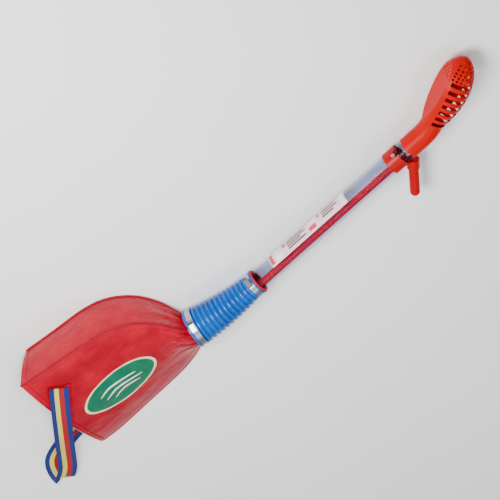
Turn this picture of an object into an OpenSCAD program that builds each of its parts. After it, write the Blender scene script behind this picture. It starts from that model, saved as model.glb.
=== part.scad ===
// Hand spreader for salt and granules, worn on a shoulder strap.
// It lies on the back panel of its bag. X runs along the clear pipe towards the head,
// Y towards the side the head curves to, Z up. All lengths are in millimetres.

/* [Pipe] */
// outside diameter of the clear pipe
pipe_d = 42; // [40:0.5:43]
// wall of the clear pipe
pipe_wall = 2.5; // [2:0.25:3]
// far end of the pipe, measured from the mouth of the upper hose cuff
pipe_end = 452; // [446:1:456]
// height of the pipe's axis over the floor
axis_z = 42; // [42:0.5:46]

/* [Hose] */
// crest radius of the bellows at its small end
hose_r_small = 26.5; // [26:0.5:28]
// crest radius of the bellows at its large end
hose_r_large = 40; // [39:0.5:41]
// number of corrugations
hose_rings = 12; // [12:1:12]
// length of the corrugated part
hose_len = 129; // [125:1:131]
// bend of the hose between its two cuffs, degrees
hose_bend = 12.8; // [10:0.2:14]
// wall of the hose
hose_wall = 1.6; // [1.4:0.1:1.8]

/* [Bag] */
// height of the gusset between the two panels
gusset_h = 98; // [90:1:100]
// thickness of the coated cloth
cloth = 1.5; // [1.2:0.1:1.8]
// width of the doubled hem at the mouth
hem_w = 12; // [10:1:14]
// diameter of the welt along each seam
welt_d = 4; // [3:0.5:4]
// length of the oval badge
badge_l = 172; // [150:1:180]
// height of the oval badge
badge_w = 86; // [76:1:90]

/* [Strap] */
// width of the webbing
strap_w = 40; // [36:1:42]
// thickness of the webbing
strap_t = 1.6; // [1.4:0.1:1.8]

/* [Grip] */
// first end of the turning collar
collar_x = 369; // [367:1:370]
// length of the turning collar
collar_l = 31; // [30:1:32]
// outside radius of the collar
collar_r = 24; // [23.5:0.25:24.5]
// radius of the grip peg
peg_r = 10.4; // [10:0.1:10.8]
// length of the grip peg from the pipe's axis
peg_l = 101; // [97:1:106]
// angle between the peg and the pipe
peg_lean = 50; // [48:0.5:52]

/* [Dosing rod] */
// radius of the red dosing rod
rod_r = 8; // [7.5:0.1:8.2]
// distance of the rod from the pipe's axis
rod_off = 9.5; // [9:0.1:9.6]

/* [Head] */
// start of the head's socket
socket_x = 419; // [417:1:421]
// wall of the head
head_wall = 2.2; // [2:0.1:2.4]
// angle by which the head curves
head_bend = 22; // [20:0.5:24]
// radius of the curve
head_curve = 100; // [95:1:105]
// greatest outside radius of the head
head_r = 40; // [38:0.5:41]
// length of the head beyond its curve
head_l = 165; // [164:1:168]
// distance of the flat face from the head's axis
face_off = 25; // [24:0.5:26]
// width of each slot
slot_w = 8.5; // [6:0.5:9]
// distance from slot to slot
slot_pitch = 17.2; // [16.5:0.1:17.5]
// diameter of each small hole
hole_d = 5; // [4:0.25:5.5]

/* [Hidden] */
// shift that centres the part over the origin
ox = -22;
oy = -60;
// fineness of curves
fine = 64;
// running clearance on the pipe
run = 0.06;
pipe_r = pipe_d / 2;
bore_r = pipe_r - pipe_wall;
cuff_up = 22;
cuff_low = 17;
hose_rad = hose_len * 180 / (PI * hose_bend);
ring_pitch = hose_len / hose_rings;
mid_ring = 6;
neck_in = 36;
socket_r = pipe_r + run + head_wall;
bend_x = 455;
root_r = 9.4;
windows = [60, 240];

module place() {
    translate([ox, oy, 0]) children();
}

// a frame on the pipe's axis, with its local Z along the pipe
module on_pipe(x) {
    translate([x, 0, axis_z]) rotate([0, 90, 0]) children();
}

// a tube along local Z
module tube(ro, ri, h) {
    difference() {
        cylinder(r = ro, h = h, $fn = fine);
        translate([0, 0, -1]) cylinder(r = ri, h = h + 2, $fn = fine);
    }
}

// centre line of the bent hose: t runs from 0 at the upper cuff to 1 at the lower cuff
function hose_x(t) = -cuff_up - hose_rad * sin(hose_bend * t);
function hose_y(t) = hose_rad * (1 - cos(hose_bend * t));
function crest(t) = hose_r_small + (hose_r_large - hose_r_small) * t;

// a frame on the hose, with its local Z towards the bag
module on_hose(t) {
    translate([hose_x(t), hose_y(t), axis_z])
        rotate([0, 0, -hose_bend * t])
            rotate([0, -90, 0]) children();
}

// a straight length of bellows from ring number first to ring number last, wall included
module rings(first, last, trim) {
    mid = (first + last + 1) / 2 / hose_rings;
    z0 = -(last - first + 1) * ring_pitch / 2;
    n = last - first + 1;
    function r(i) = crest((first + i + 0.5) / hose_rings);
    outer = [for (i = [0 : n - 1]) for (k = [0 : 5])
        [r(i) - [4, 0.8, 0, 0, 0.8, 4][k],
            z0 + (i + 0.5) * ring_pitch + [-ring_pitch / 2 + (i == 0 ? trim : 0.6), -3.5, -1.8, 1.8,
                3.5, ring_pitch / 2 - (i == n - 1 ? trim : 0.6)][k]]];
    inner = [for (p = outer) p - [hose_wall, 0]];
    m = len(outer);
    on_hose(mid) rotate_extrude($fn = fine)
        polygon(concat(outer, [for (i = [m - 1 : -1 : 0]) inner[i]]));
}

// bag outline: fold edge and gusset edge of each station, from the mouth to the neck
fold_edge = [[-489, -72], [-430, -69], [-370, -68], [-315, -68], [-275, -66], [-248, -59], [-225, -50]];
seam_edge = [[-450, 227], [-400, 217], [-345, 209], [-300, 203], [-262, 192], [-240, 174], [-225, 152]];
stations = len(fold_edge);
steps = 10;

// height of the front panel at a fraction v from the fold to the gusset
function front_z(v) = 2 * cloth + (gusset_h - 2 * cloth) * pow(sin(90 * v), 0.9);
function front_pt(j, v, lift) = [
    fold_edge[j][0] + (seam_edge[j][0] - fold_edge[j][0]) * v,
    fold_edge[j][1] + (seam_edge[j][1] - fold_edge[j][1]) * v,
    front_z(v) + lift];

// a sheet that follows the front panel, its upper side lifted by lift
module front_sheet(lift, thick) {
    top = [for (j = [0 : stations - 1]) for (i = [0 : steps]) front_pt(j, i / steps, lift)];
    low = [for (j = [0 : stations - 1]) for (i = [0 : steps]) front_pt(j, i / steps, lift - thick)];
    sheet_solid(concat(top, low), stations, steps + 1);
}

// closes two grids of points, upper then lower, into a solid
module sheet_solid(points, rows, cols) {
    n = rows * cols;
    upper = [for (j = [0 : rows - 2]) for (i = [0 : cols - 2]) for (k = [0, 1])
        k == 0 ? [j * cols + i, j * cols + i + 1, (j + 1) * cols + i + 1]
               : [j * cols + i, (j + 1) * cols + i + 1, (j + 1) * cols + i]];
    lower = [for (f = upper) [f[2] + n, f[1] + n, f[0] + n]];
    side_a = [for (j = [0 : rows - 2]) [j * cols, (j + 1) * cols, (j + 1) * cols + n, j * cols + n]];
    side_b = [for (j = [0 : rows - 2])
        [(j + 1) * cols + cols - 1, j * cols + cols - 1, j * cols + cols - 1 + n,
            (j + 1) * cols + cols - 1 + n]];
    end_a = [for (i = [0 : cols - 2]) [i + 1, i, i + n, i + 1 + n]];
    end_b = [for (i = [0 : cols - 2])
        [(rows - 1) * cols + i, (rows - 1) * cols + i + 1, (rows - 1) * cols + i + 1 + n,
            (rows - 1) * cols + i + n]];
    polyhedron(points, concat(upper, lower, side_a, side_b, end_a, end_b), convexity = 6);
}

module bag_outline() {
    polygon(concat(fold_edge, [for (j = [stations - 1 : -1 : 0]) seam_edge[j]]));
}

module bag_back() {
    color("crimson") place() linear_extrude(cloth) bag_outline();
}

module bag_front() {
    color("crimson") place() front_sheet(0, cloth);
}

// outward direction of the gusset edge at a station
function edge_dir(j) = seam_edge[min(j + 1, stations - 1)] - seam_edge[max(j - 1, 0)];
function edge_out(j) = [-edge_dir(j)[1], edge_dir(j)[0]] / norm(edge_dir(j));

module bag_gusset() {
    inner = [for (j = [stations - 1 : -1 : 0]) seam_edge[j] - cloth * edge_out(j)];
    color("crimson") place() translate([0, 0, cloth])
        linear_extrude(gusset_h - 2 * cloth - 0.2) polygon(concat(seam_edge, inner));
}

// doubled edge round the mouth, outside the ends of the panels
module mouth_hem() {
    back = [fold_edge[0], seam_edge[0], seam_edge[0] - [hem_w, 0], fold_edge[0] - [hem_w, 0]];
    top = [for (e = [0, 1]) for (i = [0 : steps]) front_pt(0, i / steps, 0.8) - [hem_w * (1 - e), 0, 0]];
    low = [for (e = [0, 1]) for (i = [0 : steps]) front_pt(0, i / steps, -2.4) - [hem_w * (1 - e), 0, 0]];
    color("firebrick") place() translate([-0.4, 0, 0]) {
        linear_extrude(2.4) polygon(back);
        sheet_solid(concat(top, low), 2, steps + 1);
        linear_extrude(gusset_h) polygon([seam_edge[0], seam_edge[0] - [hem_w, 0],
            seam_edge[0] - [hem_w, 3], seam_edge[0] - [0, 3]]);
    }
}

// a welt along the gusset edge
module welt(z) {
    near = [for (j = [0 : stations - 1]) seam_edge[j] + 0.15 * edge_out(j)];
    far = [for (j = [stations - 1 : -1 : 0]) seam_edge[j] + (0.15 + welt_d) * edge_out(j)];
    translate([0, 0, z]) linear_extrude(welt_d) polygon(concat(near, far));
}

module welt_front() {
    color("darkred") place() welt(gusset_h - welt_d);
}

module welt_back() {
    color("darkred") place() welt(0);
}

// outline of the bag at the neck, drawn across the hose
module neck_section(inset) {
    j = stations - 1;
    pts = concat([[fold_edge[j][1] + 4 * inset, inset]],
        [for (i = [1 : steps]) [front_pt(j, i / steps, 0)[1] - inset * (i == steps ? 1 : 0),
            front_pt(j, i / steps, 0)[2] - inset]],
        [[seam_edge[j][1] - inset, inset]]);
    translate([fold_edge[j][0], 0, 0]) rotate([90, 0, 90]) linear_extrude(0.5) polygon(pts);
}

module neck_hull(inset, r, past) {
    hull() {
        translate([0.2 - past, 0, 0]) neck_section(inset);
        on_hose(1) translate([0, 0, cuff_low + 3 - past]) cylinder(r = r, h = 1, $fn = 48);
    }
}

// gathered neck, tucked over the ring under the lower cuff
module bag_neck() {
    color("crimson") place() {
        difference() {
            neck_hull(0, neck_in + 1.6, 0);
            neck_hull(cloth, neck_in, 0.8);
        }
        on_hose(1) translate([0, 0, 0.5]) tube(neck_in + 1.6, neck_in, cuff_low + 2.3);
    }
}

module neck_ring() {
    color("dimgray") place() on_hose(1) translate([0, 0, 0.8]) tube(neck_in - 0.02, neck_in - 2.5, cuff_low + 1.7);
}

module badge_outline(grow) {
    translate([-345, 51]) scale([badge_l / 2 + grow, badge_w / 2 + grow]) circle(r = 1, $fn = 64);
}

module badge_border() {
    color("cornsilk") place() intersection() {
        front_sheet(1.1, 1);
        linear_extrude(150) difference() {
            badge_outline(0);
            badge_outline(-5);
        }
    }
}

module badge_face() {
    color("seagreen") place() intersection() {
        front_sheet(1.1, 1);
        linear_extrude(150) badge_outline(-5.1);
    }
}

// the plane the webbing falls in: local X away from the front panel, local Y up
module strap_plane() {
    translate([-422, 157, 0]) rotate([0, 0, -130.5])
        translate([0, strap_w / 2, 0]) rotate([90, 0, 0]) linear_extrude(strap_w) children();
}

strap_path = [[-22, 103.5], [40, 96], [78, 89.5], [104, 80], [132, 60], [165, 34],
    [200, 15], [235, 5], [262, 2.2]];

module strap() {
    up = [for (p = strap_path) p + [0, strap_t / 2]];
    down = [for (i = [len(strap_path) - 1 : -1 : 0]) strap_path[i] - [0, strap_t / 2]];
    color("goldenrod") place() {
        strap_plane() polygon(concat(up, down));
        translate([-604, -38, 1.4]) cube([30, strap_w, strap_t]);
        translate([-600, -38, 1.4]) cube([94, strap_w, strap_t]);
    }
}

module strap_patch_front() {
    color("firebrick") place() intersection() {
        front_sheet(1.4, 1.3);
        translate([-422, 157, 0]) rotate([0, 0, -130.5]) translate([-12, -24, 60]) cube([34, 48, 60]);
    }
}

// patch inside the mouth, behind the strap's rear end
module strap_patch_back() {
    color("firebrick") place() translate([-474, -41, cloth + 0.02]) cube([37, strap_w + 6, 1.3]);
}

module cuff_lower() {
    color("royalblue") place() on_hose(1) {
        tube(hose_r_large - 0.6, neck_in + 1.7, cuff_low);
        translate([0, 0, cuff_low - 4.4]) tube(hose_r_large + 0.8, hose_r_large - 0.6, 4.4);
        difference() {
            translate([0, 0, -0.2]) cylinder(r = hose_r_large - 0.6, h = 1.6, $fn = fine);
            translate([0, 0, -1]) cylinder(r = neck_in + 1.7, h = 4, $fn = fine);
        }
    }
}

// steel band with its worm box and screw, on a cuff of outside radius r
module band(r) {
    tube(r + 0.9, r + 0.02, 11);
}

module worm_box(r) {
    difference() {
        translate([r + 0.95, -8, 0.5]) cube([7.5, 16, 10]);
        translate([r + 4.7, -12, 5.5]) rotate([-90, 0, 0]) cylinder(r = 2.85, h = 24, $fn = 32);
    }
}

module worm_screw(r) {
    translate([r + 4.7, -9, 5.5]) rotate([-90, 0, 0]) cylinder(r = 2.8, h = 18, $fn = 32);
    translate([r + 4.7, 9, 5.5]) rotate([-90, 0, 0]) difference() {
        cylinder(r = 3.9, h = 4, $fn = 6);
        translate([-0.5, -4, 2.6]) cube([1, 8, 2]);
    }
}

module on_band_low() {
    on_hose(1) translate([0, 0, 1.2]) rotate([0, 0, 38]) children();
}

module on_band_up() {
    on_pipe(-3.5) rotate([0, 180, 0]) rotate([0, 0, 52]) children();
}

module clamp_band_lower() {
    color("silver") place() on_band_low() band(hose_r_large - 0.6);
}

module clamp_box_lower() {
    color("gainsboro") place() on_band_low() worm_box(hose_r_large - 0.6);
}

module clamp_screw_lower() {
    color("gray") place() on_band_low() worm_screw(hose_r_large - 0.6);
}

module bellows_lower() {
    color("dodgerblue") place() rings(mid_ring + 1, hose_rings - 1, 1.4);
}

module bellows_mid() {
    color("dodgerblue") place() rings(mid_ring, mid_ring, 0.9);
}

module bellows_upper() {
    color("dodgerblue") place() rings(0, mid_ring - 1, 1.4);
}

module cuff_upper() {
    color("royalblue") place() on_pipe(-cuff_up) {
        tube(hose_r_small - 0.5, pipe_r + 3.1, cuff_up);
        translate([0, 0, cuff_up - 2]) tube(hose_r_small + 0.7, hose_r_small - 0.5, 2);
    }
}

module clamp_band_upper() {
    color("silver") place() on_band_up() band(hose_r_small - 0.5);
}

module clamp_box_upper() {
    color("gainsboro") place() on_band_up() worm_box(hose_r_small - 0.5);
}

module clamp_screw_upper() {
    color("gray") place() on_band_up() worm_screw(hose_r_small - 0.5);
}

// sleeve between the pipe and the small cuff, with a rim that shows past the cuff
module adapter() {
    color("red") place() {
        on_pipe(-cuff_up) tube(pipe_r + 3, pipe_r + 0.02, cuff_up + 1);
        on_pipe(0.5) tube(pipe_r + 4, pipe_r + 0.02, 2.5);
    }
}

// arc-shaped cutter between two radii, from angle a over a sweep
module sector(ri, ro, a, sweep, h) {
    rotate([0, 0, a]) rotate_extrude(angle = sweep, $fn = fine)
        translate([ri, 0]) square([ro - ri, h]);
}

module pipe() {
    color([0.75, 0.78, 0.85, 0.5]) place() difference() {
        on_pipe(-cuff_up) tube(pipe_r, bore_r, pipe_end + cuff_up);
        on_pipe(collar_x + 18) sector(bore_r - 1, pipe_r + 1, 40, 100, 10);
    }
}

module dose_plate() {
    color("slategray") place() on_pipe(-16) difference() {
        cylinder(r = bore_r - 0.02, h = 3, $fn = fine);
        for (a = windows) translate([0, 0, -1]) sector(5, bore_r - 2.5, a, 70, 5);
    }
}

module pipe_label() {
    color("mistyrose") place() on_pipe(50) sector(pipe_r + 0.02, pipe_r + 0.32, 54, 94, 208);
}

// frame at the foot of the peg, with its local Z along the peg
module on_peg() {
    translate([collar_x + 20, -24, axis_z]) translate([26.5, 7, 0])
        rotate([0, -90, peg_lean]) children();
}

module grip_collar() {
    color("red") place() difference() {
        union() {
            on_pipe(collar_x) cylinder(r = collar_r, h = collar_l, $fn = fine);
            on_peg() translate([0, 0, 13]) cylinder(r = 13, h = 21, $fn = fine);
        }
        on_pipe(collar_x - 10) cylinder(r = pipe_r + run, h = 90, $fn = fine);
        on_peg() translate([0, 0, 20]) cylinder(r = root_r, h = 60, $fn = fine);
        on_pipe(collar_x + collar_l - 4.5) sector(pipe_r, 30, 106, 38, 6);
        on_pipe(collar_x + 23) rotate([0, 0, 125]) rotate([0, 90, 0]) cylinder(r = 2.6, h = 40, $fn = 32);
    }
}

module grip_peg() {
    color("red") place() difference() {
        on_peg() {
            translate([0, 0, 20.2]) cylinder(r = root_r - 0.02, h = 20, $fn = fine);
            translate([0, 0, 34.4]) cylinder(r = peg_r, h = peg_l - 50.4, $fn = fine);
        }
        on_peg() translate([0, 0, peg_l - 32]) cylinder(r = 7, h = 60, $fn = fine);
        on_pipe(collar_x - 10) cylinder(r = pipe_r + run + 1, h = 90, $fn = fine);
    }
}

module grip_cap() {
    color("red") place() on_peg() {
        translate([0, 0, peg_l - 31]) cylinder(r = 6.98, h = 16, $fn = fine);
        translate([0, 0, peg_l - 15.6]) cylinder(r = peg_r, h = 7.6, $fn = fine);
        intersection() {
            translate([0, 0, peg_l - 8]) sphere(r = peg_r, $fn = fine);
            translate([0, 0, peg_l - 8]) cylinder(r = 20, h = 20, $fn = fine);
        }
    }
}

module link_screw() {
    color("lightgray") place() on_pipe(collar_x + 23) rotate([0, 0, 125]) rotate([0, 90, 0]) {
        translate([0, 0, bore_r - 2]) cylinder(r = 2.5, h = 9, $fn = 32);
        difference() {
            translate([0, 0, collar_r]) cylinder(r = 4.2, h = 2.6, $fn = 32);
            translate([-5, -0.5, collar_r + 1.6]) cube([10, 1, 3]);
        }
    }
}

// ring inside the pipe that ties the dosing rod to the collar
module rod_carrier() {
    color("firebrick") place() on_pipe(collar_x + 17) difference() {
        union() {
            tube(bore_r - 0.35, bore_r - 3, 12);
            intersection() {
                translate([0, -rod_off, 0]) cylinder(r = rod_r + 2, h = 12, $fn = fine);
                cylinder(r = bore_r - 0.35, h = 12, $fn = fine);
            }
        }
        translate([0, -rod_off, -1]) cylinder(r = rod_r + 0.02, h = 14, $fn = fine);
        translate([0, 0, 6]) rotate([0, 0, 125]) rotate([0, 90, 0]) cylinder(r = 2.52, h = 40, $fn = 32);
    }
}

module dose_rod() {
    color("red") place() on_pipe(-12) translate([0, -rod_off, 0]) tube(rod_r, rod_r - 1.5, collar_x + 45);
}

module shutter() {
    color("firebrick") place() on_pipe(-12.6) difference() {
        cylinder(r = bore_r - 0.35, h = 3, $fn = fine);
        for (a = windows) translate([0, 0, -1]) sector(5, bore_r - 2.5, a, 70, 5);
        translate([0, -rod_off, 0.55]) cylinder(r = rod_r + 0.02, h = 5, $fn = fine);
    }
}

// frame on the head's axis beyond its curve, local Z towards the tip, local Y to the face
module on_head(s) {
    translate([bend_x + head_curve * sin(head_bend), head_curve * (1 - cos(head_bend)), axis_z])
        rotate([0, 0, head_bend]) rotate([0, 90, 0]) translate([0, 0, s]) children();
}

// half profile of the head: radius at each distance from the end of the curve
function head_profile(w) = [[0, 0], [socket_r - w, 0], [26.5 - w, 12], [31.5 - w, 28],
    [36 - w, 46], [head_r - 1.2 - w, 66], [head_r - w, 84], [39.2 - w, 102], [36.4 - w, 118], [32 - w, 132],
    [26.4 - w, 143.5], [20 - w, 152.5], [13 - w, 159.5 - w / 2], [6.5, head_l - 1.2 - w], [0, head_l - w]];

module head_solid(w) {
    on_head(0) rotate_extrude($fn = fine) polygon(head_profile(w));
}

// the curved neck, as a solid of radius r
module head_curve_solid(r) {
    translate([bend_x, head_curve, axis_z]) rotate([0, 0, -90])
        rotate_extrude(angle = head_bend, $fn = 128)
            translate([head_curve, 0]) circle(r = r, $fn = fine);
}

// slots over the top and the outer side; the underside stays closed
module head_slots() {
    for (i = [0 : 6]) {
        on_head(7 + i * slot_pitch) translate([-60, -60, 0]) cube([80, 71 + 1.2 * i, slot_w]);
    }
}

module head_holes() {
    rows = [[77, 17], [65, 16], [53, 14], [41, 12], [29, 9], [16, 5]];
    for (row = rows) {
        for (i = [0 : row[1] - 1]) {
            on_head(116) rotate([0, 0, -212 + 244 * i / (row[1] - 1)]) rotate([0, row[0], 0])
                translate([0, 0, 14]) cylinder(d = hole_d, h = 50, $fn = 16);
        }
    }
}

module face_holes() {
    for (j = [0 : 2]) {
        for (i = [0 : 3 - j]) {
            on_head(121 + 8 * j) translate([(i - (3 - j) / 2) * 10, 0, 0]) rotate([-90, 0, 0])
                cylinder(d = hole_d, h = 60, $fn = 16);
        }
    }
}

module face_cut(d) {
    on_head(6) translate([-80, d, 0]) cube([160, 80, 260]);
}

module head_shell() {
    color("orangered") place() {
        difference() {
            head_solid(0);
            head_solid(head_wall);
            on_head(-1) cylinder(r = socket_r - head_wall, h = 4, $fn = fine);
            face_cut(face_off);
            head_slots();
            head_holes();
        }
        difference() {
            head_curve_solid(socket_r);
            head_curve_solid(pipe_r + run);
        }
        on_pipe(socket_x) tube(socket_r, pipe_r + run, bend_x - socket_x);
    }
}

// flat cover that closes the head on its inner side
module head_face() {
    color("tomato") place() difference() {
        intersection() {
            head_solid(head_wall + 0.05);
            on_head(6) translate([-80, face_off - 2.2, 0]) cube([160, 2.2, 260]);
        }
        face_holes();
    }
}

bag_back();
bag_front();
bag_gusset();
mouth_hem();
welt_front();
welt_back();
bag_neck();
neck_ring();
badge_border();
badge_face();
strap();
strap_patch_front();
strap_patch_back();
cuff_lower();
clamp_band_lower();
clamp_box_lower();
clamp_screw_lower();
bellows_lower();
bellows_mid();
bellows_upper();
cuff_upper();
clamp_band_upper();
clamp_box_upper();
clamp_screw_upper();
adapter();
pipe();
dose_plate();
pipe_label();
grip_collar();
grip_peg();
grip_cap();
link_screw();
rod_carrier();
dose_rod();
shutter();
head_shell();
head_face();
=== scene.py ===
import math

import bpy
import numpy as np
from mathutils import Matrix, Vector, noise


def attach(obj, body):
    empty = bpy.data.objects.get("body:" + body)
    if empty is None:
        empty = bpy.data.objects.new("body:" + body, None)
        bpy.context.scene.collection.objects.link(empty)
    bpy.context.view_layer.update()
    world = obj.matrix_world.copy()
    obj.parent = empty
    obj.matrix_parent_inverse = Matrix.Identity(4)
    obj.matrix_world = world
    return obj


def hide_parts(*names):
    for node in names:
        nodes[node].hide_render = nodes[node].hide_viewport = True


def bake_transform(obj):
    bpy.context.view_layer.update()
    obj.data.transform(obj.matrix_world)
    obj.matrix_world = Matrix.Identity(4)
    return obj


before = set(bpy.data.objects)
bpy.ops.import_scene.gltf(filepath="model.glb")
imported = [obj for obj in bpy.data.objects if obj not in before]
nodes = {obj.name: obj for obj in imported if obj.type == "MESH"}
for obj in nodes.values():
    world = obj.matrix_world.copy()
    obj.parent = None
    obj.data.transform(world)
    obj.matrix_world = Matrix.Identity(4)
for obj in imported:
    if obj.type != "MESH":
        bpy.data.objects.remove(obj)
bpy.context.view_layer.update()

# ---------------------------------------------------------------- shared sizes
MM = 0.001
OX, OY = -0.022, -0.060      # the mouth of the upper cuff in the part's frame, metres
AXIS_Z = 42.0                # height of the pipe's axis, mm
CLOTH = 0.0012               # thickness of the coated cloth, metres
FILM = 0.00008               # thickness of the label's film, metres
LOWEST = 1.3                 # the cloth's lowest place above the floor, mm


def at(x, y, z):
    """A point of the part's frame, from millimetres measured at the mouth of the upper cuff."""
    return Vector((x * MM + OX, y * MM + OY, z * MM))


# ---------------------------------------------------------------- materials
def material(name, colour, rough=0.4, scale=60.0, vary=0.08, bump=0.15, bump_scale=400.0,
             metal=0.0, transmission=0.0, coat=0.0, ior=1.5, spec=0.5, stretch=(1, 1, 1)):
    """A procedural finish: noise varies the colour and the roughness, and a finer noise gives relief."""
    m = bpy.data.materials.new(name)
    m.use_nodes = True
    nt = m.node_tree
    b = nt.nodes["Principled BSDF"]
    tc = nt.nodes.new("ShaderNodeTexCoord")
    mp = nt.nodes.new("ShaderNodeMapping")
    mp.inputs["Scale"].default_value = stretch
    nt.links.new(tc.outputs["Object"], mp.inputs["Vector"])
    n1 = nt.nodes.new("ShaderNodeTexNoise")
    n1.inputs["Scale"].default_value = scale
    n1.inputs["Detail"].default_value = 4
    nt.links.new(mp.outputs["Vector"], n1.inputs["Vector"])
    ramp = nt.nodes.new("ShaderNodeValToRGB")
    dark = [max(0, c * (1 - vary)) for c in colour[:3]] + [1]
    light = [min(1, c * (1 + vary) + 0.01 * vary) for c in colour[:3]] + [1]
    ramp.color_ramp.elements[0].position = 0.35
    ramp.color_ramp.elements[0].color = dark
    ramp.color_ramp.elements[1].position = 0.65
    ramp.color_ramp.elements[1].color = light
    nt.links.new(n1.outputs["Fac"], ramp.inputs["Fac"])
    nt.links.new(ramp.outputs["Color"], b.inputs["Base Color"])
    rr = nt.nodes.new("ShaderNodeMapRange")
    rr.inputs["To Min"].default_value = max(0.02, rough * 0.85)
    rr.inputs["To Max"].default_value = min(1.0, rough * 1.2)
    nt.links.new(n1.outputs["Fac"], rr.inputs["Value"])
    nt.links.new(rr.outputs["Result"], b.inputs["Roughness"])
    n2 = nt.nodes.new("ShaderNodeTexNoise")
    n2.inputs["Scale"].default_value = bump_scale
    n2.inputs["Detail"].default_value = 3
    nt.links.new(mp.outputs["Vector"], n2.inputs["Vector"])
    bp = nt.nodes.new("ShaderNodeBump")
    bp.inputs["Strength"].default_value = bump
    bp.inputs["Distance"].default_value = 0.0005
    nt.links.new(n2.outputs["Fac"], bp.inputs["Height"])
    nt.links.new(bp.outputs["Normal"], b.inputs["Normal"])
    b.inputs["Metallic"].default_value = metal
    b.inputs["Transmission Weight"].default_value = transmission
    b.inputs["Coat Weight"].default_value = coat
    b.inputs["Coat Roughness"].default_value = 0.12
    b.inputs["IOR"].default_value = ior
    b.inputs["Specular IOR Level"].default_value = spec
    return m


PVC_RED = material("bag_cloth", (0.40, 0.0002, 0.016), rough=0.32, scale=25, vary=0.16, bump=0.10,
                   bump_scale=180, ior=1.24)
PVC_WELT = material("bag_welt", (0.30, 0.0005, 0.012), rough=0.38, scale=60, vary=0.12, bump=0.2, ior=1.24)
CREAM = material("badge_cream", (0.86, 0.78, 0.46), rough=0.42, scale=80, vary=0.05)
GREEN = material("badge_green", (0.001, 0.15, 0.075), rough=0.36, scale=40, vary=0.12, spec=0.3)
MARK = material("badge_mark", (0.90, 0.90, 0.84), rough=0.45, scale=90, vary=0.04)
BLUE = material("hose_blue", (0.0, 0.095, 0.42), rough=0.22, scale=30, vary=0.12, bump=0.05, ior=1.33)
STEEL = material("band_steel", (0.42, 0.43, 0.44), rough=0.30, scale=90, vary=0.10, bump=0.04,
                 bump_scale=300, metal=1.0, stretch=(1, 8, 8))
STEEL_DARK = material("screw_steel", (0.34, 0.35, 0.36), rough=0.30, scale=200, vary=0.1, bump=0.05, metal=1.0)
CLEAR = material("clear_pvc", (0.68, 0.72, 0.86), rough=0.02, scale=12, vary=0.02, bump=0.0,
                 transmission=1.0, coat=0.15, ior=1.04)
LABEL = material("label_film", (0.88, 0.58, 0.64), rough=0.42, scale=90, vary=0.03)
LABEL_WHITE = material("label_white", (0.92, 0.90, 0.90), rough=0.42, scale=90, vary=0.03)
LABEL_RED = material("label_red", (0.62, 0.03, 0.10), rough=0.42, scale=90, vary=0.05)
LABEL_INK = material("label_ink", (0.02, 0.01, 0.03), rough=0.45, scale=90, vary=0.08)
RED = material("red_plastic", (0.42, 0.0002, 0.004), rough=0.24, scale=40, vary=0.06, bump=0.05, ior=1.2)
ROD_RED = material("rod_red", (0.62, 0.012, 0.034), rough=0.50, scale=40, vary=0.05, bump=0.0, ior=1.12)
HEAD = material("head_plastic", (0.50, 0.0012, 0.0004), rough=0.30, scale=35, vary=0.05, bump=0.05, ior=1.15)
GREY = material("grey_plastic", (0.07, 0.10, 0.20), rough=0.4, scale=60, vary=0.08)
THREAD = material("thread", (0.50, 0.03, 0.05), rough=0.75, scale=500, vary=0.15)
FLOOR = material("floor", (0.97, 0.97, 0.97), rough=0.95, scale=3, vary=0.01, bump=0.0, spec=0.1)

CAD_FINISH = {
    "neck_ring": GREY, "cuff_lower": BLUE, "cuff_upper": BLUE,
    "clamp_band_lower": STEEL, "clamp_band_upper": STEEL,
    "clamp_box_lower": STEEL, "clamp_box_upper": STEEL,
    "clamp_screw_lower": STEEL_DARK, "clamp_screw_upper": STEEL_DARK,
    "adapter": ROD_RED, "pipe": CLEAR, "dose_plate": GREY, "pipe_label": LABEL,
    "grip_collar": RED, "grip_peg": RED, "grip_cap": RED, "link_screw": STEEL_DARK,
    "rod_carrier": RED, "dose_rod": ROD_RED, "shutter": RED,
    "head_shell": HEAD, "head_face": HEAD,
}
for name, finish in CAD_FINISH.items():
    o = nodes[name]
    o.data.materials.clear()
    o.data.materials.append(finish)
    for p in o.data.polygons:
        p.material_index = 0


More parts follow.
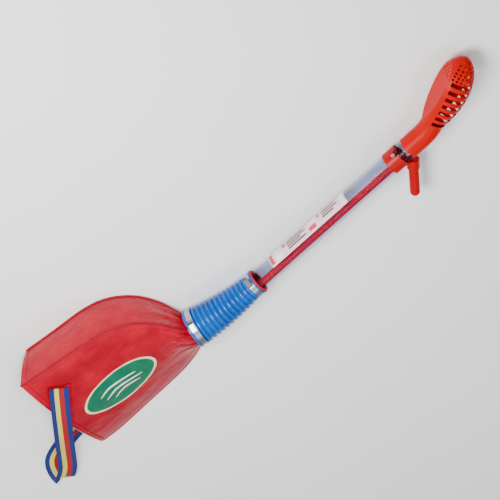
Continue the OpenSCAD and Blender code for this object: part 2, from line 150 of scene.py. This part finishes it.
def striped():
    """Woven webbing: blue, cream, red and blue bands across, with a fine weave in relief."""
    m = bpy.data.materials.new("webbing")
    m.use_nodes = True
    nt = m.node_tree
    b = nt.nodes["Principled BSDF"]
    across = nt.nodes.new("ShaderNodeAttribute")
    across.attribute_name = "across"
    along = nt.nodes.new("ShaderNodeAttribute")
    along.attribute_name = "along"
    ramp = nt.nodes.new("ShaderNodeValToRGB")
    cr = ramp.color_ramp
    cr.interpolation = "CONSTANT"
    blue, cream, red = (0.006, 0.022, 0.20, 1), (0.84, 0.70, 0.13, 1), (0.46, 0.0, 0.004, 1)
    cr.elements[0].position, cr.elements[0].color = 0.0, blue
    cr.elements[1].position, cr.elements[1].color = 0.24, cream
    for position, colour in ((0.48, red), (0.74, blue)):
        e = cr.elements.new(position)
        e.color = colour
    nt.links.new(across.outputs["Fac"], ramp.inputs["Fac"])
    n = nt.nodes.new("ShaderNodeTexNoise")
    n.inputs["Scale"].default_value = 900
    mix = nt.nodes.new("ShaderNodeMixRGB")
    mix.blend_type = "MULTIPLY"
    mix.inputs["Fac"].default_value = 0.35
    nt.links.new(ramp.outputs["Color"], mix.inputs["Color1"])
    nt.links.new(n.outputs["Color"], mix.inputs["Color2"])
    nt.links.new(mix.outputs["Color"], b.inputs["Base Color"])
    comb = nt.nodes.new("ShaderNodeCombineXYZ")
    for src, dst, k in ((across, "X", 24.0), (along, "Y", 620.0)):
        mul = nt.nodes.new("ShaderNodeMath")
        mul.operation = "MULTIPLY"
        mul.inputs[1].default_value = k
        nt.links.new(src.outputs["Fac"], mul.inputs[0])
        nt.links.new(mul.outputs["Value"], comb.inputs[dst])
    chk = nt.nodes.new("ShaderNodeTexChecker")
    chk.inputs["Scale"].default_value = 1.0
    nt.links.new(comb.outputs["Vector"], chk.inputs["Vector"])
    bp = nt.nodes.new("ShaderNodeBump")
    bp.inputs["Strength"].default_value = 0.5
    bp.inputs["Distance"].default_value = 0.0004
    nt.links.new(chk.outputs["Fac"], bp.inputs["Height"])
    nt.links.new(bp.outputs["Normal"], b.inputs["Normal"])
    b.inputs["Roughness"].default_value = 0.7
    return m


WEBBING = striped()


# ---------------------------------------------------------------- mesh helpers
def mesh_object(name, points, faces, finish):
    """A smooth-shaded object with one finish."""
    me = bpy.data.meshes.new(name)
    me.from_pydata([tuple(p) for p in points], [], faces)
    me.update()
    o = bpy.data.objects.new(name, me)
    bpy.context.scene.collection.objects.link(o)
    me.materials.append(finish)
    me.polygons.foreach_set("use_smooth", [True] * len(me.polygons))
    return o


def grid_faces(rows, cols, wrap=False):
    """Quads of a grid of points, row by row; wrap joins the last column to the first."""
    faces = []
    for j in range(rows - 1):
        for i in range(cols if wrap else cols - 1):
            k = (i + 1) % cols
            faces.append((j * cols + i, j * cols + k, (j + 1) * cols + k, (j + 1) * cols + i))
    return faces


def closed_faces(rows, cols):
    """Faces of a closed sheet: a grid of points, the same grid again as its other side, and the rim."""
    top = grid_faces(rows, cols)
    m = rows * cols
    faces = list(top) + [tuple(m + i for i in reversed(f)) for f in top]
    rim = ([j * cols for j in range(rows)] + [(rows - 1) * cols + i for i in range(1, cols)]
           + [j * cols + cols - 1 for j in range(rows - 2, -1, -1)] + [i for i in range(cols - 2, 0, -1)])
    for a, b in zip(rim, rim[1:] + rim[:1]):
        faces.append((b, a, a + m, b + m))
    return faces


def normals_of(grid):
    """Unit normals of a rows x cols x 3 grid."""
    du = np.gradient(grid, axis=0)
    dv = np.gradient(grid, axis=1)
    n = np.cross(dv, du)
    return n / np.maximum(np.linalg.norm(n, axis=2, keepdims=True), 1e-9)


def sheet_object(name, grid, thick, finish):
    """A closed sheet: the grid and the same grid pushed in by its thickness."""
    low = grid - normals_of(grid) * thick
    pts = np.concatenate([grid.reshape(-1, 3), low.reshape(-1, 3)])
    return mesh_object(name, pts, closed_faces(*grid.shape[:2]), finish)


def tube_along(name, path, radius, finish, sides=12):
    """A round rod along a list of points."""
    path = [Vector(p) for p in path]
    pts = []
    up = Vector((0.1, 0.2, 1)).normalized()
    for i, p in enumerate(path):
        d = (path[min(i + 1, len(path) - 1)] - path[max(i - 1, 0)]).normalized()
        a = d.cross(up).normalized()
        b = a.cross(d).normalized()
        for k in range(sides):
            t = 2 * math.pi * k / sides
            pts.append(p + radius * (math.cos(t) * a + math.sin(t) * b))
    faces = grid_faces(len(path), sides, wrap=True)
    faces.append(tuple(range(sides)))
    faces.append(tuple((len(path) - 1) * sides + k for k in reversed(range(sides))))
    return mesh_object(name, pts, faces, finish)


# ---------------------------------------------------------------- hose
HOSE_LEN, HOSE_BEND, CUFF_UP, RINGS = 129.0, math.radians(12.8), 22.0, 12
HOSE_RAD = HOSE_LEN / HOSE_BEND
SMALL_R, LARGE_R = 26.5, 40.0        # outer radius at the pipe and at the bag
GROOVE, HOSE_WALL = 4.8, 1.5
STEPS_PER_RING, HOSE_SIDES = 18, 72
END_GAP = 0.2                        # room between the bellows and each cuff


def hose_frame(length):
    """Centre, direction to the bag and sideways direction at a length past the upper cuff's end."""
    t = min(max(length / HOSE_LEN, 0.0), 1.0)
    a = HOSE_BEND * t
    c = Vector((-CUFF_UP - HOSE_RAD * math.sin(a), HOSE_RAD * (1 - math.cos(a)), AXIS_Z))
    d = Vector((-math.cos(a), math.sin(a), 0))
    c = c + d * (length - HOSE_LEN * t)
    side = Vector((d.y, -d.x, 0))
    return c, d, side


def hose_radius(length):
    """Outer radius of the bellows: a rounded crest for each ring, on a taper."""
    t = length / HOSE_LEN
    crest = SMALL_R + (LARGE_R - SMALL_R) * t
    phase = (length / HOSE_LEN * RINGS) % 1.0
    return crest - GROOVE * (0.5 + 0.5 * math.cos(2 * math.pi * phase)) ** 2.4


def bellows(name, start, end):
    """One length of the hose, as a closed wall."""
    sides, steps = HOSE_SIDES, int((end - start) / HOSE_LEN * RINGS * STEPS_PER_RING)
    outer, inner = [], []
    for s in range(steps + 1):
        length = start + (end - start) * s / steps
        c, _, side = hose_frame(length)
        r = hose_radius(min(max(length, 0.01), HOSE_LEN - 0.01))
        for k in range(sides):
            a = 2 * math.pi * k / sides
            v = side * math.cos(a) + Vector((0, 0, 1)) * math.sin(a)
            outer.append(at(*(c + v * r)))
            inner.append(at(*(c + v * (r - HOSE_WALL))))
    rows = steps + 1
    m = rows * sides
    top = grid_faces(rows, sides, wrap=True)
    faces = list(top) + [tuple(m + i for i in reversed(f)) for f in top]
    for base in (0, (rows - 1) * sides):
        for k in range(sides):
            a, b = base + k, base + (k + 1) % sides
            faces.append((a, b, b + m, a + m) if base else (b, a, a + m, b + m))
    return mesh_object(name, outer + inner, faces, BLUE)


ring = HOSE_LEN / RINGS
b_up = bellows("hose_upper", END_GAP, 6 * ring)
b_mid = bellows("hose_mid", 6 * ring, 7 * ring)
b_low = bellows("hose_lower", 7 * ring, HOSE_LEN - END_GAP)
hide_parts("bellows_upper")
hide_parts("bellows_mid")
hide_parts("bellows_lower")
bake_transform(b_up)
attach(b_mid, "hose_middle")
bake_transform(b_low)

# ---------------------------------------------------------------- bag
# fold edge, gusset edge and the share of round neck at each station, mouth to neck
FOLD = [(-492, -66), (-444, -70), (-375, -69), (-315, -68), (-275, -67), (-248, -65), (-225, -62),
        (-206, -58), (-192, -51), (-181, -38), (-170, -20)]
SEAM = [(-463, 228), (-400, 218), (-345, 210), (-300, 203), (-260, 194), (-228, 178), (-202, 154),
        (-187, 125), (-182, 96), (-178, 70), (-170, 55)]
ROUND = [0, 0, 0, 0, 0.01, 0.05, 0.15, 0.34, 0.60, 0.88, 1]


def spline(values, count):
    """Catmull-Rom through the values, at evenly spread parameters."""
    v = np.array(values, float)
    if v.ndim == 1:
        v = v[:, None]
    n = len(v)
    out = []
    for s in np.linspace(0, n - 1, count):
        i = min(int(s), n - 2)
        f = s - i
        p0, p1, p2, p3 = v[max(i - 1, 0)], v[i], v[i + 1], v[min(i + 2, n - 1)]
        out.append(0.5 * (2 * p1 + (p2 - p0) * f + (2 * p0 - 5 * p1 + 4 * p2 - p3) * f * f
                          + (3 * p1 - p0 - 3 * p2 + p3) * f ** 3))
    return np.array(out)


ROWS = 230
fold = spline(FOLD, ROWS)
seam = spline(SEAM, ROWS)
share = np.clip(spline(ROUND, ROWS)[:, 0], 0, 1)
NECK_R = 36.9
neck_c, _, neck_s = hose_frame(HOSE_LEN + 15.5)
BAG_TOP, FOLD_H = 98, 3              # height of the front at the seam and at the fold
CUT, CUT_LEAN, CUT_SHARE = 30, 0.34, 0.3     # slant of the mouth's edge under the front
PINCH, PLEAT = 9.0, 4.2              # depth of the gathers beside the neck
WELT_END = ROWS - 6                  # the welts stop short of the neck


def neck_point(angle, shrink=0.0):
    """A point of the neck's circle; 0 degrees is the gusset side, 90 is up."""
    a = math.radians(angle)
    return neck_c + (NECK_R - shrink) * (math.cos(a) * neck_s + math.sin(a) * Vector((0, 0, 1)))


def front_height(v):
    """Height of the front panel, from the fold (0) to the seam (1)."""
    return FOLD_H + (BAG_TOP - FOLD_H) * np.sin(np.radians(90 * v)) ** 0.82


def wrinkle(x, y, z, seed, w):
    """Soft creases in the coated cloth, stronger and running along the cloth near the neck."""
    p = Vector((x * 0.011 + seed, y * 0.017, z * 0.012))
    broad = noise.fractal(p, 1.0, 2.1, 4, noise_basis="PERLIN_ORIGINAL")
    q = Vector((x * 0.006 + seed * 2, y * 0.055, z * 0.05))
    crease = 1 - abs(noise.noise(q)) * 2.6
    crease = max(0.0, crease) ** 3
    return broad * (2.0 + 2.5 * w) - crease * (0.5 + 2.2 * w)


def panel_grid(kind, cols):
    """Rows from the mouth to the neck; columns fold to seam (front), or seam to fold (back), or down (gusset)."""
    g = np.zeros((ROWS, cols, 3))
    for j in range(ROWS):
        w = share[j]
        fx, fy = fold[j]
        sx, sy = seam[j]
        for i in range(cols):
            v = i / (cols - 1)
            if kind == "front":
                flat = Vector((fx + (sx - fx) * v, fy + (sy - fy) * v, float(front_height(v))))
                ang = 205 - 165 * v
            elif kind == "gusset":
                bulge = 5.5 * math.sin(math.pi * v) * (1 - 0.5 * w)
                cut = CUT * v * max(0.0, 1 - j / (CUT_SHARE * ROWS))
                flat = Vector((sx + 0.25 * bulge + cut, sy + bulge - CUT_LEAN * cut, BAG_TOP - 96.6 * v))
                ang = 40 - 80 * v
            else:
                u = 1 - v
                lift = 1.4 + 1.2 * (1 - math.sin(math.pi * v))
                cut = CUT * u * max(0.0, 1 - j / (CUT_SHARE * ROWS))
                flat = Vector((fx + (sx - fx) * u + cut, fy + (sy - fy) * u - CUT_LEAN * cut, lift))
                ang = -40 - 115 * v
            pinch = PINCH * math.sin(math.pi * min(1.0, max(0.0, (w - 0.3) / 0.7)) ** 1.6)
            g[j, i] = flat.lerp(neck_point(ang, pinch), w)
    n = normals_of(g)
    if kind == "back":
        n = -n if n[20, cols // 2, 2] > 0 else n
    elif kind == "gusset":
        n = -n if n[20, cols // 2, 1] < 0 else n
    else:
        n = -n if n[20, cols // 2, 2] < 0 else n
    seed = {"front": 0.0, "gusset": 7.3, "back": 13.1}[kind]
    for j in range(ROWS):
        w = share[j]
        near = max(0.0, min(1.0, (j / ROWS - 0.5) / 0.45))
        pleats = math.sin(math.pi * min(1.0, max(0.0, (j / ROWS - 0.6) / 0.4))) ** 1.2
        for i in range(cols):
            v = i / (cols - 1)
            x, y, z = g[j, i]
            edge = min(1.0, 6 * v, 6 * (1 - v)) if kind != "back" else min(1.0, 4 * v, 4 * (1 - v))
            mouth = min(1.0, j / 8.0)
            h = wrinkle(x, y, z, seed, near * (1 - w)) * (edge * mouth)
            sway = 2.0 * noise.noise(Vector((v * 4 + seed, j * 0.01, 0)))
            waves = math.sin(v * (34 if kind == "front" else 17) + sway)
            h += PLEAT * pleats * (1 - w) ** 0.4 * waves * edge * (0.35 + 0.65 * near)
            if kind == "back":
                h = -abs(h) * 0.35
            if j > ROWS - 12:
                h *= (ROWS - 1 - j) / 12.0
            g[j, i] += n[j, i] * h
    g[:, :, 2] = np.maximum(g[:, :, 2], LOWEST)
    return g


def in_frame_m(g):
    """The same move as at(), for an array of points."""
    out = g * MM
    out[..., 0] += OX
    out[..., 1] += OY
    return out


front = panel_grid("front", 90)
gusset = panel_grid("gusset", 40)
back = panel_grid("back", 60)
# the panels meet at their seams
gusset[:, 0] = front[:, -1]
back[:, 0] = gusset[:, -1]
back[:, -1] = front[:, 0] - np.array([0, 0, 1.2])
back[:, -1, 2] = np.maximum(back[:, -1, 2], LOWEST)

bag_front = sheet_object("bag_front_cloth", in_frame_m(front)[:, ::-1], CLOTH, PVC_RED)
bag_gusset = sheet_object("bag_gusset_cloth", in_frame_m(gusset)[:, ::-1], CLOTH, PVC_RED)
bag_back = sheet_object("bag_back_cloth", in_frame_m(back)[:, ::-1], CLOTH, PVC_RED)


def ridge(name, line, radius, lift, finish=PVC_WELT):
    """A raised bead along a line of the cloth."""
    pts = [at(*(Vector(p) + Vector(lift))) for p in line]
    return tube_along(name, pts, radius * MM, finish)


def above(points, height):
    """The points, with none lower than a height."""
    return np.maximum(points, [-1e9, -1e9, height])


back_line = [p + np.array([0, 0.4, 0]) for p in above(gusset[:WELT_END:2, -1], 1.75)]
welt_f = ridge("bag_welt_front", front[:WELT_END:2, -1], 2.3, (0, 0.8, 0.6))
welt_b = ridge("bag_welt_back", back_line, 2.1, (0, 0.8, 0.5))
welt_l = ridge("bag_fold_welt", above(front[2:WELT_END:2, 0], 1.6), 1.3, (0, -0.4, 0.0), finish=PVC_RED)

HEM_LIFT = 0.7                       # the hem's outer layer above the cloth, mm
hem = []
for name, panel, axis in (("mouth_hem_front", front, 2), ("mouth_hem_gusset", gusset, 1)):
    middle = panel.shape[1] // 2
    out = 1 if normals_of(in_frame_m(panel[:9]))[4, middle, axis] > 0 else -1
    g = in_frame_m(panel[:7])
    g = g + normals_of(g) * out * HEM_LIFT * MM
    g = g if out > 0 else g[:, ::-1]
    if normals_of(g)[3, middle, axis] < 0:
        g = g[:, ::-1]
    hem.append(sheet_object(name, g, CLOTH, PVC_RED))

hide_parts("bag_front")
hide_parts("bag_back", "bag_neck")
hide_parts("bag_gusset")
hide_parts("welt_front")
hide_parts("welt_back")
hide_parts("mouth_hem")


# ---------------------------------------------------------------- stitches
def stitches(name, line, normal, length=3.2, gap=1.8, radius=0.35):
    """Short rods laid end to end along a line: a row of stitches."""
    line = np.array([np.array(p, float) for p in line])
    seg = np.linalg.norm(np.diff(line, axis=0), axis=1)
    cum = np.concatenate([[0], np.cumsum(seg)])
    pts, faces = [], []
    s = 1.0
    while s + length < cum[-1]:
        ends = [np.array([np.interp(q, cum, line[:, k]) for k in range(3)])
                for q in (s, s + length / 2, s + length)]
        d = Vector(ends[2] - ends[0]).normalized()
        nrm = Vector(normal).normalized()
        a = d.cross(nrm).normalized()
        base = len(pts)
        for e, rise in zip(ends, (0.0, 0.35, 0.0)):
            c = Vector(e) + nrm * rise
            for k in range(6):
                t = 2 * math.pi * k / 6
                pts.append(at(*(c + radius * (math.cos(t) * a + math.sin(t) * nrm))))
        for r in range(2):
            for k in range(6):
                q = (k + 1) % 6
                faces.append((base + r * 6 + k, base + r * 6 + q, base + r * 6 + 6 + q, base + r * 6 + 6 + k))
        faces.append(tuple(base + k for k in reversed(range(6))))
        faces.append(tuple(base + 12 + k for k in range(6)))
        s += length + gap
    return mesh_object(name, pts, faces, THREAD)


SEAM_COLUMN = 84                     # the front's column that the seam's stitches follow
st1 = stitches("stitches_front_seam", front[4:WELT_END, SEAM_COLUMN] + np.array([0, 0, 0.2]), (0, 0.2, 1))
st2 = stitches("stitches_hem", front[5, 2:-2] + np.array([0, 0, 0.9]), (0, -0.2, 1))

# ---------------------------------------------------------------- badge
FRONT_UP = normals_of(front)
if FRONT_UP[60, 45, 2] < 0:
    FRONT_UP = -FRONT_UP


def on_front(x, y):
    """Point of the front panel and its normal under a place given in millimetres."""
    d = (front[:, :, 0] - x) ** 2 + (front[:, :, 1] - y) ** 2
    k = np.argsort(d.ravel())[:4]
    wt = 1 / (np.sqrt(d.ravel()[k]) + 0.3)
    wt /= wt.sum()
    z = float((front[:, :, 2].ravel()[k] * wt).sum())
    n = (FRONT_UP.reshape(-1, 3)[k] * wt[:, None]).sum(0)
    return np.array([x, y, z]), n / np.linalg.norm(n)


BADGE = (-345.0, 51.0)


def badge_disc(name, ra, rb, inner, lift, finish, thick=0.8):
    """An oval disc that follows the front panel, open in the middle to a share of its size."""
    rings, sides = 14, 96
    top = []
    for r in range(rings + 1):
        f = inner + (1 - inner) * r / rings
        for k in range(sides):
            a = 2 * math.pi * k / sides
            x, y = BADGE[0] + ra * f * math.cos(a), BADGE[1] + rb * f * math.sin(a)
            p, n = on_front(x, y)
            top.append(p + n * lift)
    top = np.array(top).reshape(rings + 1, sides, 3)
    low = top.copy()
    low[:, :, 2] -= thick
    m = (rings + 1) * sides
    pts = np.concatenate([top.reshape(-1, 3), low.reshape(-1, 3)])
    f = grid_faces(rings + 1, sides, wrap=True)
    faces = [tuple(reversed(q)) for q in f] + [tuple(m + i for i in q) for q in f]
    for k in range(sides):
        a, b = rings * sides + k, rings * sides + (k + 1) % sides
        faces.append((a, a + m, b + m, b))
        a, b = k, (k + 1) % sides
        faces.append((b, b + m, a + m, a))
    return mesh_object(name, [at(*p) for p in pts], faces, finish)


border = badge_disc("badge_rim", 92, 48, 0.93, 1.7, CREAM)
face = badge_disc("badge_field", 86.5, 45.0, 0.02, 1.5, GREEN)
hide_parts("badge_border")
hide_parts("badge_face")


def swoosh(name, pts2, width, finish, lift=2.1):
    """A raised stroke on the badge, along points given in the badge's own plane."""
    line = spline(pts2, 40)
    left, right = [], []
    for i, p in enumerate(line):
        d = line[min(i + 1, len(line) - 1)] - line[max(i - 1, 0)]
        d = d / np.linalg.norm(d)
        half = width * 0.5 * (0.25 + 0.75 * math.sin(math.pi * i / (len(line) - 1)))
        for s, store in ((1, left), (-1, right)):
            q = p + s * half * np.array([-d[1], d[0]])
            store.append(q)
    pts, faces = [], []
    for q in zip(left, right):
        for z in (lift, lift - 0.5):
            for e in q:
                c, n = on_front(BADGE[0] + e[0], BADGE[1] + e[1])
                pts.append(at(*(c + n * z)))
    for i in range(len(line) - 1):
        a, b = i * 4, i * 4 + 4
        faces += [(a, a + 1, b + 1, b), (a + 3, a + 2, b + 2, b + 3),
                  (a, b, b + 2, a + 2), (a + 1, a + 3, b + 3, b + 1)]
    faces += [(0, 2, 3, 1), (len(pts) - 4, len(pts) - 3, len(pts) - 1, len(pts) - 2)]
    return mesh_object(name, pts, faces, finish)


marks = [
    swoosh("badge_mark_a", [(-48, 8), (-20, 16), (10, 12), (44, 4)], 5.5, MARK),
    swoosh("badge_mark_b", [(-44, -8), (-14, 0), (16, -4), (50, -12)], 5.5, MARK),
    swoosh("badge_mark_c", [(-30, -20), (-6, -14), (18, -17), (36, -23)], 4.0, MARK),
]

# ---------------------------------------------------------------- strap
WEB_W, WEB_THICK = 39.0, 1.5
WEB_LOWEST = 1.6                     # the middle of the webbing above the floor, mm


def ribbon(name, centre, side, normal, width, thick, finish, cols=13):
    """A flat band with a middle line, a sideways direction and a normal at each step."""
    rows = len(centre)
    cum = [0.0]
    for a, b in zip(centre, centre[1:]):
        cum.append(cum[-1] + float(np.linalg.norm(np.array(b) - np.array(a))))
    pts, across, along = [], [], []
    for layer in (0.5, -0.5):
        for j in range(rows):
            for i in range(cols):
                u = i / (cols - 1)
                p = np.array(centre[j]) + np.array(side[j]) * (u - 0.5) * width + np.array(normal[j]) * layer * thick
                p[2] = max(p[2], WEB_LOWEST + layer * thick)
                pts.append(at(*p))
                across.append(u)
                along.append(cum[j] * MM)
    o = mesh_object(name, pts, closed_faces(rows, cols), finish)
    for key, vals in (("across", across), ("along", along)):
        o.data.attributes.new(key, "FLOAT", "POINT").data.foreach_set("value", vals)
    return o, cum[-1]


def strap_path():
    """Middle line of the strap's loop, with the directions along and across its first length."""
    d = np.array([-0.6494, -0.7604, 0])
    w = np.array([0.7604, -0.6494, 0])
    start = np.array([-422.0, 157.0, 0])
    # distance along, height, distance across
    keys = [(-10, 102.2, -1.5), (10, 100.6, -1.5), (31, 98.8, -0.9), (65, 94.8, 0.3), (100, 87, 2.3),
            (141, 74, 5.2), (182, 56, 8.8), (221, 38, 12.4), (248, 27, 14.2), (266, 21, 12.8), (280, 15, 10.5),
            (287, 9, 7.5), (286, 4.6, 3), (279, 2.3, -2), (269, 1.9, -6), (257, 1.9, -8.5), (243, 1.9, -8),
            (228, 1.8, -1.5), (207, 1.8, 13), (189, 1.8, 27), (176, 1.7, 39)]
    pts = spline([tuple(start + d * a + w * c + np.array([0, 0, z])) for a, z, c in keys], 260)
    return pts, d, w


def band_frame(points, across):
    """Sideways direction and normal of a band at each point of its middle line."""
    sideways, normals = [], []
    for i in range(len(points)):
        t = points[min(i + 1, len(points) - 1)] - points[max(i - 1, 0)]
        t /= np.linalg.norm(t)
        s = across - t * float(across @ t)
        s /= np.linalg.norm(s)
        n = np.cross(t, s)
        sideways.append(s)
        normals.append(n / np.linalg.norm(n))
    return sideways, normals


pts, d_dir, w_dir = strap_path()
strap, strap_len = ribbon("strap_webbing", pts, *band_frame(pts, w_dir), WEB_W, WEB_THICK, WEBBING)
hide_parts("strap")


PATCH_STEPS = 14


def patch(name, centre2, along_dir, half_l, half_w, lift, finish):
    """A cloth patch that follows the front panel."""
    a = np.array(along_dir[:2])
    b = np.array([-a[1], a[0]])
    g = np.zeros((PATCH_STEPS, PATCH_STEPS, 3))
    for i in range(PATCH_STEPS):
        for k in range(PATCH_STEPS):
            along, across = (2 * j / (PATCH_STEPS - 1) - 1 for j in (i, k))
            q = np.array(centre2) + a * half_l * along + b * half_w * across
            p, n = on_front(*q)
            g[i, k] = p + n * lift
    g = in_frame_m(g)
    if normals_of(g)[6, 6, 2] < 0:
        g = g[:, ::-1]
    return sheet_object(name, g, CLOTH, finish)


patch_f = patch("strap_patch_top", (-425, 153), d_dir, 17, 24, 1.6, PVC_RED)
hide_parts("strap_patch_front")
# the rear patch lies on the back panel inside the mouth
rear = np.array([[(-474 + 2.7 * i, -41 + 3.4 * k, 3.0 + 0.25 * math.sin(0.8 * i + 0.5 * k))
                  for k in range(PATCH_STEPS)] for i in range(PATCH_STEPS)])
patch_b = sheet_object("strap_patch_inside", in_frame_m(rear)[:, ::-1], CLOTH, PVC_RED)
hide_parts("strap_patch_back")

for o in (bag_front, bag_gusset, bag_back, welt_f, welt_b, welt_l, *hem, st1, st2, border, face, *marks,
          strap, patch_f, patch_b):
    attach(o, "bag")

# ---------------------------------------------------------------- label on the pipe
PIPE_FILM_R = 21.32                  # outer radius of the label's film, mm
MARK_LIFT = 0.10


def on_pipe_patch(name, x0, x1, a0, a1, lift, finish):
    """A thin printed field on the pipe; angles are from the gusset side (0) over the top (90)."""
    rows = max(3, int((x1 - x0) / 3))
    cols = max(4, int(abs(a1 - a0) / 3))
    g = np.zeros((rows, cols, 3))
    for i in range(rows):
        for k in range(cols):
            a = math.radians(a0 + (a1 - a0) * k / (cols - 1))
            r = PIPE_FILM_R + lift
            g[i, k] = (x0 + (x1 - x0) * i / (rows - 1), r * math.cos(a), AXIS_Z + r * math.sin(a))
    g = in_frame_m(g)
    middle = math.radians((a0 + a1) / 2)
    outward = np.array([0, math.cos(middle), math.sin(middle)])
    o = sheet_object(name, g, -FILM if normals_of(g)[1, 1] @ outward < 0 else FILM, finish)
    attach(o, "pipe_unit")
    return o


A0, A1 = -36, 58                     # the label's edges round the pipe, degrees
# start and end along the pipe, start and end as shares of the label's width, finish
for i, (x0, x1, f0, f1, finish) in enumerate([
        (52, 60, 0.12, 0.88, LABEL_RED), (66, 84, 0.1, 0.42, LABEL_WHITE), (66, 84, 0.55, 0.9, LABEL_WHITE),
        (88, 96, 0.1, 0.45, LABEL_RED), (100, 150, 0.10, 0.20, LABEL_INK), (100, 142, 0.26, 0.35, LABEL_INK),
        (100, 150, 0.41, 0.50, LABEL_INK), (100, 136, 0.56, 0.65, LABEL_INK), (100, 148, 0.71, 0.80, LABEL_INK),
        (158, 178, 0.15, 0.5, LABEL_WHITE), (184, 190, 0.2, 0.45, LABEL_RED), (158, 176, 0.6, 0.85, LABEL_RED),
        (196, 236, 0.15, 0.24, LABEL_INK), (196, 230, 0.31, 0.40, LABEL_INK), (196, 238, 0.47, 0.56, LABEL_INK),
        (196, 226, 0.63, 0.72, LABEL_INK), (244, 254, 0.1, 0.9, LABEL_WHITE)]):
    o = on_pipe_patch(f"label_mark_{i:02d}", x0, x1, A0 + (A1 - A0) * f0, A0 + (A1 - A0) * f1, MARK_LIFT, finish)

# ---------------------------------------------------------------- floor, light, camera
bpy.ops.mesh.primitive_plane_add(size=8, location=(0, 0, 0))
floor = bpy.context.object
floor.name = "studio_floor"
floor.data.materials.append(FLOOR)

# the view's axes in the part's frame
RIGHT = Vector((0.7132, -0.6762, 0.1848)).normalized()
UP = Vector((0.6332, 0.5083, -0.5837)).normalized()
BACK = RIGHT.cross(UP).normalized()


def area_light(name, location, target, size, power):
    """A round soft light that faces a target."""
    data = bpy.data.lights.new(name, "AREA")
    data.shape = "DISK"
    data.size = size
    data.energy = power
    o = bpy.data.objects.new(name, data)
    o.location = location
    o.rotation_mode = "QUATERNION"
    o.rotation_quaternion = (Vector(target) - Vector(location)).to_track_quat("-Z", "Y")
    bpy.context.scene.collection.objects.link(o)
    return o


centre = Vector((0, 0, 0.04))
key = area_light("key", centre + UP * 0.9 - RIGHT * 0.9 + Vector((0, 0, 2.2)), centre, 1.0, 58)
fill = area_light("fill", centre + RIGHT * 1.6 + Vector((0, 0, 1.8)), centre, 1.4, 16)
low = area_light("low", centre - UP * 1.2 + Vector((0, 0, 1.6)), centre, 1.2, 8)
world = bpy.data.worlds.new("studio")
bpy.context.scene.world = world
world.use_nodes = True
world.node_tree.nodes["Background"].inputs["Color"].default_value = (1, 1, 1, 1)
world.node_tree.nodes["Background"].inputs["Strength"].default_value = 0.38

cam_data = bpy.data.cameras.new("camera")
cam = bpy.data.objects.new("camera", cam_data)
bpy.context.scene.collection.objects.link(cam)
bpy.context.scene.camera = cam
DISTANCE, VIEW_WIDTH, SENSOR = 25.0, 1.0, 36     # a far camera, so that the view is nearly parallel
cam_data.sensor_width = SENSOR
cam_data.lens = SENSOR * DISTANCE / VIEW_WIDTH
aim = at(0, 0, AXIS_Z) + RIGHT * -0.0158 + UP * 0.0624
m = Matrix((RIGHT, UP, BACK)).transposed().to_4x4()
m.translation = aim + BACK * DISTANCE
cam.matrix_world = m
cam_data.clip_start, cam_data.clip_end = 5.0, 60
